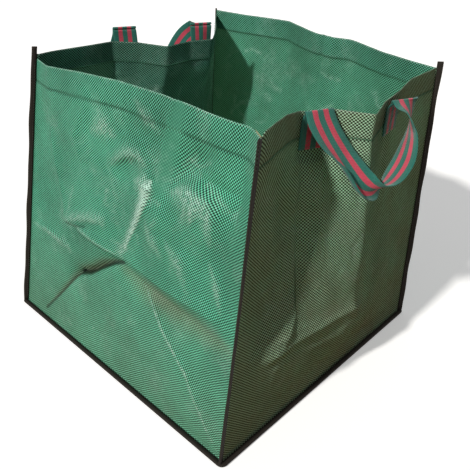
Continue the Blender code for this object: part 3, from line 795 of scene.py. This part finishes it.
def wall_shape(side, widths, heights, seed):
    """A panel's wall between its seams, its outward normals, and the marks of its creases and its hem."""
    wall = soften(panel_surface(side, widths, heights), SOFTEN[side])
    wall[:, :, 2] += rim_rise(side, widths, heights)
    u, v = np.meshgrid(widths, heights)
    free = np.clip(np.minimum(u, 1 - u) / HELD_FLAT, 0, 1) * np.clip(v / HELD_FLAT, 0, 1)
    seat = np.zeros_like(u)
    if side in HANDLES:
        for end in HANDLES[side]["ends"]:
            beside = np.abs(u - end) * panel_length(side) / (STRAP_WIDTH / 2 + SEAT_MARGIN)
            seat = np.maximum(seat, np.clip(1.4 - beside, 0, 1) * np.clip((v - SEAT_FROM) / 0.03, 0, 1))
    folded, wear_and_painted_light, sheen_and_shadow_lines = creases(side, widths, heights, seed + CREASE_SEED)
    if side == "front":
        folded += front_facet(widths, heights)
    shift = soften((SLACK * ripple(widths, heights, seed) + folded) * free * (1 - seat), 1)
    groove = np.exp(-((v * HEIGHT - (HEIGHT - HEM)) / GROOVE_SPREAD) ** 2)
    wall += normals(wall) * (shift - GROOVE_DEPTH * groove * (1 - seat))[:, :, None]
    # marks: pale wear and painted highlight, painted shade, painted sheen and shadow lines, and painted
    # shade along the hem's groove
    marks = np.stack([wear_and_painted_light.clip(0, 2), -wear_and_painted_light.clip(-1, 0), sheen_and_shadow_lines - 0.5 * groove], axis=2)
    return wall, normals(wall), marks


def side_cloth(side, seed):
    """A side panel's cloth: flange, wall, rolled rim and hem, as one sheet, with its lines of stitches."""
    length = panel_length(side)
    widths, heights = np.linspace(0.0, 1.0, COLUMNS + 1), np.linspace(0.0, 1.0, ROWS + 1)
    wall, out, wall_marks = wall_shape(side, widths, heights, seed)

    columns = COLUMNS + 3
    sheet, inward = np.zeros((ROWS + 1, columns, 3)), np.zeros((ROWS + 1, columns, 3))
    sheet[:, 1:-1] = wall
    inward[:, 2:-2] = -out[:, 1:-1]
    fins = np.full(ROWS + 1, SEAM_FIN)
    fins[0] = FIN_FOOT
    seams = list(zip(PANEL_ENDS[side], (1, -2), (0, -1), (1, -1)))
    for corner, root, tip, way in seams:
        fin = seam_out(corner)
        aside = np.array([-fin[1], fin[0], 0.0]) * way
        sheet[:, root] = wall[:, tip] + aside * (GAP + FABRIC) / 2
        sheet[:, tip] = sheet[:, root] + fin * fins[:, None]
    flange = sheet[0] + panel_out(side, 0.0) * HIDDEN_EDGE
    for corner, root, tip, _ in seams:
        flange[tip] = sheet[0][root] + seam_out(corner) * HIDDEN_EDGE

    turns = np.array([0.25, 0.5, 0.75])
    rolled = []
    for turn in turns * math.pi:
        over = inward[-1] * (1 - math.cos(turn)) + UP * math.sin(turn)
        rolled.append(sheet[-1] + over * HEM_ROLL / 2)
    hem_rows = int(round(HEM / HEIGHT * ROWS)) + 1
    hem = (sheet + inward * HEM_ROLL)[:-hem_rows - 1:-1]
    grid = np.concatenate([[flange], sheet, rolled, hem])

    marks = np.zeros((len(grid), columns, 3))
    marks[1:ROWS + 2, 1:-1] = wall_marks
    # pale wear and painted highlight along the rolled rim
    marks[ROWS + 1:ROWS + 3, :, 0] = RIM_WEAR_AND_HIGHLIGHT
    marks[-hem_rows:] = marks[ROWS + 1:ROWS + 1 - hem_rows:-1]
    hem_start = HEIGHT + HEM_ROLL * ROLL_LENGTH
    place_u = [-SEAM_FIN, *widths * length, length + SEAM_FIN]
    place_v = [-SEAM_FIN, *heights * HEIGHT, *(HEIGHT + turns * HEM_ROLL * ROLL_LENGTH),
               *(hem_start + np.arange(hem_rows) / ROWS * HEIGHT)]
    made = cloth_object(side + "_cloth", grid, np.stack(np.meshgrid(place_u, place_v), axis=2))
    layer = made.data.attributes.new("marks", "FLOAT_VECTOR", "POINT")
    layer.data.foreach_set("vector", marks.ravel())
    dress(made, SIDE_LIT_AND_SHADED_CLOTH[side], node=side + "_panel")

    row = int(round((1 - HEM / HEIGHT) * ROWS))
    seam, seam_normals = wall[row][1:-1], out[row][1:-1]
    stitches = stitch_row(seam + seam_normals * FABRIC / 2, seam_normals)
    stitches += stitch_row(seam - seam_normals * (HEM_ROLL + FABRIC / 2), -seam_normals)
    thread = thread_object(side + "_hem_stitches", stitches, THREAD)


def base_cloth():
    """The base cloth, with the slight waves of cloth that lies on a floor."""
    stations = []
    for half in (WIDTH / 2, DEPTH / 2):
        inner = np.linspace(BASE_RAMP - half, half - BASE_RAMP, BASE_STATIONS)
        stations.append(np.array([-half - HIDDEN_EDGE, -half, *inner, half, half + HIDDEN_EDGE]))
    across, along = stations
    grid = np.zeros((len(along), len(across), 3))
    grid[:, :, :2] = np.stack(np.meshgrid(across, along), axis=2)
    waves = 1 + ripple(across / WIDTH + 0.5, along / DEPTH + 0.5, BASE_SEED)
    grid[:, :, 2] = FABRIC / 2 + BASE_WAVE * waves.clip(0, 2)
    grid[:2, :, 2] = grid[-2:, :, 2] = grid[:, :2, 2] = grid[:, -2:, 2] = BASE_EDGE_Z
    made = cloth_object("base_cloth", grid, grid[:, :, :2] + (WIDTH, DEPTH))
    dress(made, CLOTH, node="base_panel")


# Binding tapes

def folded_section(leg_start, half, reach=TAPE_REACH):
    """The outline of a folded tape: distance out of the seam, and to its side, with a rounded fold."""
    wide, narrow = half + TAPE / 2, half - TAPE / 2
    outer, inner = (
        [(reach - wide + radius * math.cos(angle), radius * math.sin(angle))
         for angle in np.linspace(-math.pi / 2, math.pi / 2, 9)]
        for radius in (wide, narrow))
    return np.array([(leg_start, -wide), *outer, (leg_start, wide),
                     (leg_start, narrow), *inner[::-1], (leg_start, -narrow)])


def corner_tape(corner, seed):
    """The tape of an upright seam, a little wavy, with its raw end above the rim."""
    phases = np.random.default_rng(seed).uniform(0, 2 * math.pi, len(TAPE_WAVES) + 1)
    out = seam_out(corner)
    aside = np.array([-out[1], out[0], 0.0])
    half = (GAP + FABRIC) / 2 + TAPE_CLEAR + TAPE / 2
    foot, rim = base_corner(corner), rim_corner(corner)
    start, finish = BASE_TAPE_TOP + GAP - foot[2], rim[2] - foot[2] + TAPE_RISE
    levels = np.linspace(start, finish, 120)
    rows, around = [], []
    for level in levels:
        wave = sum(height * math.sin(level / length + phase)
                   for (height, length), phase in zip(TAPE_WAVES, phases))
        lean = TAPE_LEAN[0] * math.sin(level / TAPE_LEAN[1] + phases[-1])
        section = folded_section(TAPE_LEG_START, half, TAPE_REACH + wave)
        middle = foot + seam_slope(corner) * level
        rows.append([middle + out * place + aside * (side + lean * place / SEAM_FIN)
                     for place, side in section])
        around.append(travelled(section))
    places = np.stack([around, np.repeat(levels[:, None], len(section), axis=1)], axis=2)
    made = cloth_object(corner + "_tape", np.array(rows), places, closed=True, caps=True, wraps=True)
    dress(made, BINDING, node=corner + "_binding")
    stitches = []
    middles = foot + seam_slope(corner) * levels[2:-6, None] + out * TAPE_STITCH_OUT
    for face in (-aside, aside):
        path = middles + face * (half + TAPE / 2)
        stitches += stitch_row(path, np.tile(face, (len(path), 1)), TAPE_STITCH_PITCH)
    thread = thread_object(corner + "_tape_stitches", stitches, TAPE_THREAD)


def base_tape():
    """The tape round the base seam, carried round its four corners."""
    inset = np.array([WIDTH, DEPTH, 0.0]) / 2 + SEAM_FIN - NOSE_RADIUS
    centres = [np.array([*side, 0.0]) * inset for side in CORNER_SIDE.values()]
    path, angles = [], []
    for quarter, (centre, following) in enumerate(zip(centres, centres[1:] + centres[:1])):
        begin = math.pi + quarter * math.pi / 2
        path += [centre] * (CORNER_STEPS + 1)
        angles += [begin + step * math.pi / 2 / CORNER_STEPS for step in range(CORNER_STEPS + 1)]
        path += [centre + (following - centre) * share for share in np.linspace(0, 1, SIDE_STEPS + 1)[1:-1]]
        angles += [begin + math.pi / 2] * (SIDE_STEPS - 1)
    path, outward = np.array(path), np.stack([np.cos(angles), np.sin(angles), np.zeros(len(angles))], axis=1)
    half_height = (BASE_TAPE_TOP - TAPE) / 2
    leg_start = BASE_LEG_START + LEG_TRIM
    section = folded_section(leg_start, half_height)
    rings = []
    for place, side in section:
        reach = max(place + NOSE_RADIUS - SEAM_FIN, NOSE_LEAST)
        rings.append(path + outward * reach + UP * (BASE_TAPE_TOP / 2 + side))
    rows = np.stack(rings, axis=1)
    along = travelled(path + outward * RUN_RADIUS)
    places = np.stack(np.meshgrid(travelled(section), [*along, along[-1] + LAST_STEP]), axis=2)
    made = cloth_object("base_tape", np.concatenate([rows, rows[:1]]), places, closed=True, wraps=True)
    dress(made, BINDING, node="base_binding")


# Handles

def hinge_line(side):
    """The line that a handle's loop swings about: its middle, direction, way out and half length."""
    handle = HANDLES[side]
    rim = panel_surface(side, np.array(handle["ends"]), [1.0])[0]
    first, second = (point + panel_out(side) * (STRAP_SEAT + FOLD_RADIUS + stand_off)
                     for point, stand_off in zip(rim, handle["stand_off"]))
    middle = (first + second) / 2
    middle[2] = max(rim[0][2], rim[1][2]) + handle["rise"]
    along = (second - first) * (1, 1, 0)
    half = np.linalg.norm(along) / 2
    along = unit(along)
    return middle, along, np.array([along[1], -along[0], 0.0]), half


def strap_object(name, body, centres, sideways, face_out, start_run=0.0, curls=None):
    """Webbing along a path: a flat section with rounded edges, whose left edge may curl over. Gives back its
    piece and its length."""
    half = STRAP_WIDTH / 2
    edge_to_middle = [(-share * half, lift) for share, lift in STRAP_PROFILE]
    top = edge_to_middle + [(-across, lift) for across, lift in edge_to_middle[-2::-1]]
    section = top + [(across, -lift) for across, lift in top[::-1]]
    curls = np.zeros(len(centres)) if curls is None else np.radians(curls)
    rows = []
    for centre, side, out, curl in zip(centres, sideways, face_out, curls):
        ring = []
        for across, lift in section:
            beyond = CURL_FROM - across
            if curl < 0.01 or beyond <= 0:
                ring.append(centre + side * across + out * lift * STRAP / 2)
                continue
            bend = curl / (half + CURL_FROM)
            turn = bend * beyond
            point = centre + side * (CURL_FROM - math.sin(turn) / bend) + out * (1 - math.cos(turn)) / bend
            ring.append(point + (out * math.cos(turn) + side * math.sin(turn)) * lift * STRAP / 2)
        rows.append(ring)
    run = travelled(centres)
    places = np.stack(np.meshgrid([across for across, _ in section], run + start_run), axis=2)
    made = cloth_object(name + "_webbing", np.array(rows), places, closed=True, caps=True)
    return dress(made, WEBBING, body, name), float(run[-1])


def strap_end(side, end):
    """A sewn end, from its raw lower edge up to just under the fold, with a boxed row of stitches."""
    name = f"{side}_handle_{('first', 'second')[end]}_end"
    middle, along, out, half = hinge_line(side)
    share = HANDLES[side]["ends"][end]
    edge = STRAP_WIDTH / 2 / panel_length(side)
    heights = 1.0 - np.linspace(SEWN, HANDLES[side]["sewn_top"], 12) / HEIGHT
    patch = panel_surface(side, np.array([share - edge, share, share + edge]), heights)
    normal = unit(np.cross(patch[-1][2] - patch[-1][0], patch[-1][1] - patch[0][1]))
    top = middle + along * half * (2 * end - 1) - out * FOLD_RADIUS
    top[2] = middle[2] - FOLD_RADIUS - STRAP / 2 - 3 * GAP
    edges = []
    for sewn, way in ((patch[:, 0], -1), (patch[:, 2], 1)):
        sewn = sewn + normal * STRAP_SEAT
        finish = top + along * way * STRAP_WIDTH / 2
        edges.append([*sewn, *(sewn[-1] * (1 - step) + finish * step for step in np.linspace(0, 1, 8)[1:])])
    left, right = np.array(edges)
    centres = (left + right) / 2
    sideways = unit(right - left)
    faces = unit(np.cross(sideways, np.gradient(centres, axis=0)))
    made, length = strap_object(name, "bag", centres, sideways, faces, start_run=0.4)

    low, high = BOX_ROWS
    corners = []
    for way, row in ((-1, low), (1, low), (1, high), (-1, high), (-1, low), (1, high)):
        corners.append(centres[row] + sideways[row] * STRAP_WIDTH * BOX_SHARE * way + faces[row] * STRAP / 2)
    stitches = []
    for first, second in zip(corners, corners[1:]):
        path = np.linspace(first, second, 12)
        stitches += stitch_row(path, np.tile(normal, (12, 1)), BOX_PITCH, BOX_THREAD_SIZE)
    thread = thread_object(name + "_stitches", stitches, THREAD)


def smooth_path(points, steps):
    """A smooth curve through points, with its own points evenly apart in the first two directions."""
    points = np.array(points, float)
    padded = np.vstack([2 * points[0] - points[1], points, 2 * points[-1] - points[-2]])
    fine = []
    for p0, p1, p2, p3 in zip(padded, padded[1:], padded[2:], padded[3:]):
        for t in np.linspace(0, 1, 40, endpoint=False):
            fine.append(0.5 * (2 * p1 + (p2 - p0) * t + (2 * p0 - 5 * p1 + 4 * p2 - p3) * t**2
                               + (3 * p1 - p0 - 3 * p2 + p3) * t**3))
    fine.append(padded[-2])
    fine = np.array(fine)
    run = travelled(fine[:, :2])
    even = np.linspace(0.0, run[-1], steps)
    return np.stack([np.interp(even, run, column) for column in fine.T], axis=1)


def strap_loop(side):
    """The free loop of a handle, with a fold at each end over the hinge line."""
    middle, along, out, half = hinge_line(side)
    tilt = math.radians(HANDLES[side]["tilt"])
    down = -UP * math.cos(tilt) + out * math.sin(tilt)
    proud = unit(np.cross(down, along))
    offset = proud * FOLD_RADIUS
    last = math.pi - math.atan2(offset[2], offset @ out)
    angles = np.linspace(FOLD_START, last, 12)[:-1]
    stations = []

    def fold(way, order):
        for angle in order:
            turn = -out * math.cos(angle) + UP * math.sin(angle)
            stations.append((middle + along * half * way + turn * FOLD_RADIUS, -along * way, turn, 0.0))

    fold(-1, angles)
    path = smooth_path(LOOP_ROUTES[side], 150)
    places = middle + offset + path[:, :1] * along + path[:, 1:2] * down
    tangents = np.gradient(places, axis=0)
    tangents[0], tangents[-1] = down, -down
    for place, tangent, turn, curl in zip(places, unit(tangents), np.radians(path[:, 2]), path[:, 3]):
        across = unit(np.cross(proud, tangent)) * math.cos(turn) + proud * math.sin(turn)
        stations.append((place, across, unit(np.cross(tangent, across)), curl))
    fold(1, angles[::-1])
    centres, sideways, faces, curls = (np.array(column) for column in zip(*stations))
    body = side + "_handle"
    made, length = strap_object(body + "_loop", body, centres, sideways, faces, curls=curls)


def cream_end():
    """The cream end of a tape that shows over the rim beside the front left seam."""
    shares, lifts = np.linspace(*CREAM_SHARES, 12), np.linspace(*CREAM_LIFTS, 7)
    rim = panel_surface("left", shares, [1.0])[0] - panel_out("left") * CREAM_BEHIND
    rim[:, 2] += rim_rise("left", shares, [1.0])[0]
    leans = CREAM_LEAN * lifts.clip(0) / CREAM_LIFTS[1]
    rows = [rim + UP * lift + panel_out("left") * lean for lift, lean in zip(lifts, leans)]
    places = np.stack(np.meshgrid(shares * DEPTH, lifts), axis=2)
    made = dress(cloth_object("front_left_cream_end", np.array(rows), places), CREAM)


for number, side in enumerate(PANEL_ENDS):
    side_cloth(side, WALL_SEED + number)
base_cloth()
base_tape()
for number, corner in enumerate(CORNER_SIDE):
    corner_tape(corner, TAPE_SEED + number)
for side in HANDLES:
    strap_end(side, 0)
    strap_end(side, 1)
    strap_loop(side)
cream_end()


# Floor, light and camera

SKY_LIGHT = 0.24
SUN_STRENGTH = 3.15
SUN_COLOUR = (1.0, 0.97, 0.92)
SUN_FROM = (-0.805, 0.015, 0.593)
SUN_WIDTH = 3.0          # degrees
FLOOR_HALF = 6.0
FLOOR_BELOW = 0.0005
FLOOR_SEEN = (0.95, 0.95, 0.95, 1.0)
FLOOR_BOUNCE = rgb(150, 117, 82)
FLOOR_GLOW = 0.32
WHITE = (1.0, 1.0, 1.0, 1.0)
CAMERA_PLACE = (-0.62527, -0.56068, 0.65558)
CAMERA_RIGHT = Vector((0.70860, -0.70517, 0.02494))
CAMERA_DOWN = Vector((-0.32844, -0.36091, -0.87285))
CAMERA_AHEAD = Vector((0.62451, 0.61031, -0.48735))
CAMERA_SETTINGS = {"sensor_width": 36.0, "lens": 45.95, "shift_x": 0.0851, "shift_y": -0.0489,
                   "clip_start": 0.01}


def background_rays(tree):
    """One for the rays that show the background: those of the camera, of reflections and through glass."""
    rays = node(tree, "ShaderNodeLightPath").outputs
    seen = calc(tree, "MAXIMUM", rays["Is Camera Ray"], rays["Is Glossy Ray"])
    return calc(tree, "MAXIMUM", seen, rays["Is Transmission Ray"])


def floor():
    corners = [(x * FLOOR_HALF, y * FLOOR_HALF, 0) for x, y in CORNER_SIDE.values()]
    data = bpy.data.meshes.new("floor")
    data.from_pydata(corners, [], [(0, 1, 2, 3)])
    material, tree = new_material("floor")
    seen = background_rays(tree)
    shade = mix(tree, seen, FLOOR_BOUNCE, FLOOR_SEEN)
    glow = calc(tree, "MULTIPLY", seen, FLOOR_GLOW)
    show(tree, principled(tree, shade, 0.9, {"Specular IOR Level": 0.1, "Emission Color": WHITE,
                                             "Emission Strength": glow}))
    data.materials.append(material)
    made = new_object("floor", data)
    made.location.z = -FLOOR_BELOW


def sun():
    data = bpy.data.lights.new("sun", "SUN")
    data.energy = SUN_STRENGTH
    data.color = SUN_COLOUR
    data.angle = math.radians(SUN_WIDTH)
    new_object("sun", data).rotation_euler = Vector(SUN_FROM).to_track_quat("Z", "Y").to_euler()


def sky():
    world = bpy.data.worlds.new("studio")
    bpy.context.scene.world = world
    world.use_nodes = True
    tree = world.node_tree
    tree.nodes.clear()
    strength = ramp(tree, background_rays(tree), 0.0, 1.0, SKY_LIGHT, 1.0)
    background = node(tree, "ShaderNodeBackground", {"Color": WHITE, "Strength": strength})
    node(tree, "ShaderNodeOutputWorld", {0: background.outputs[0]})


def camera():
    data = bpy.data.cameras.new("camera")
    for key, value in CAMERA_SETTINGS.items():
        setattr(data, key, value)
    made = new_object("camera", data)
    turned = Matrix((CAMERA_RIGHT, -CAMERA_DOWN, -CAMERA_AHEAD)).transposed().to_4x4()
    made.matrix_world = Matrix.Translation(CAMERA_PLACE) @ turned
    bpy.context.scene.camera = made


floor()
sun()
sky()
camera()
bpy.context.scene.view_settings.view_transform = "Standard"
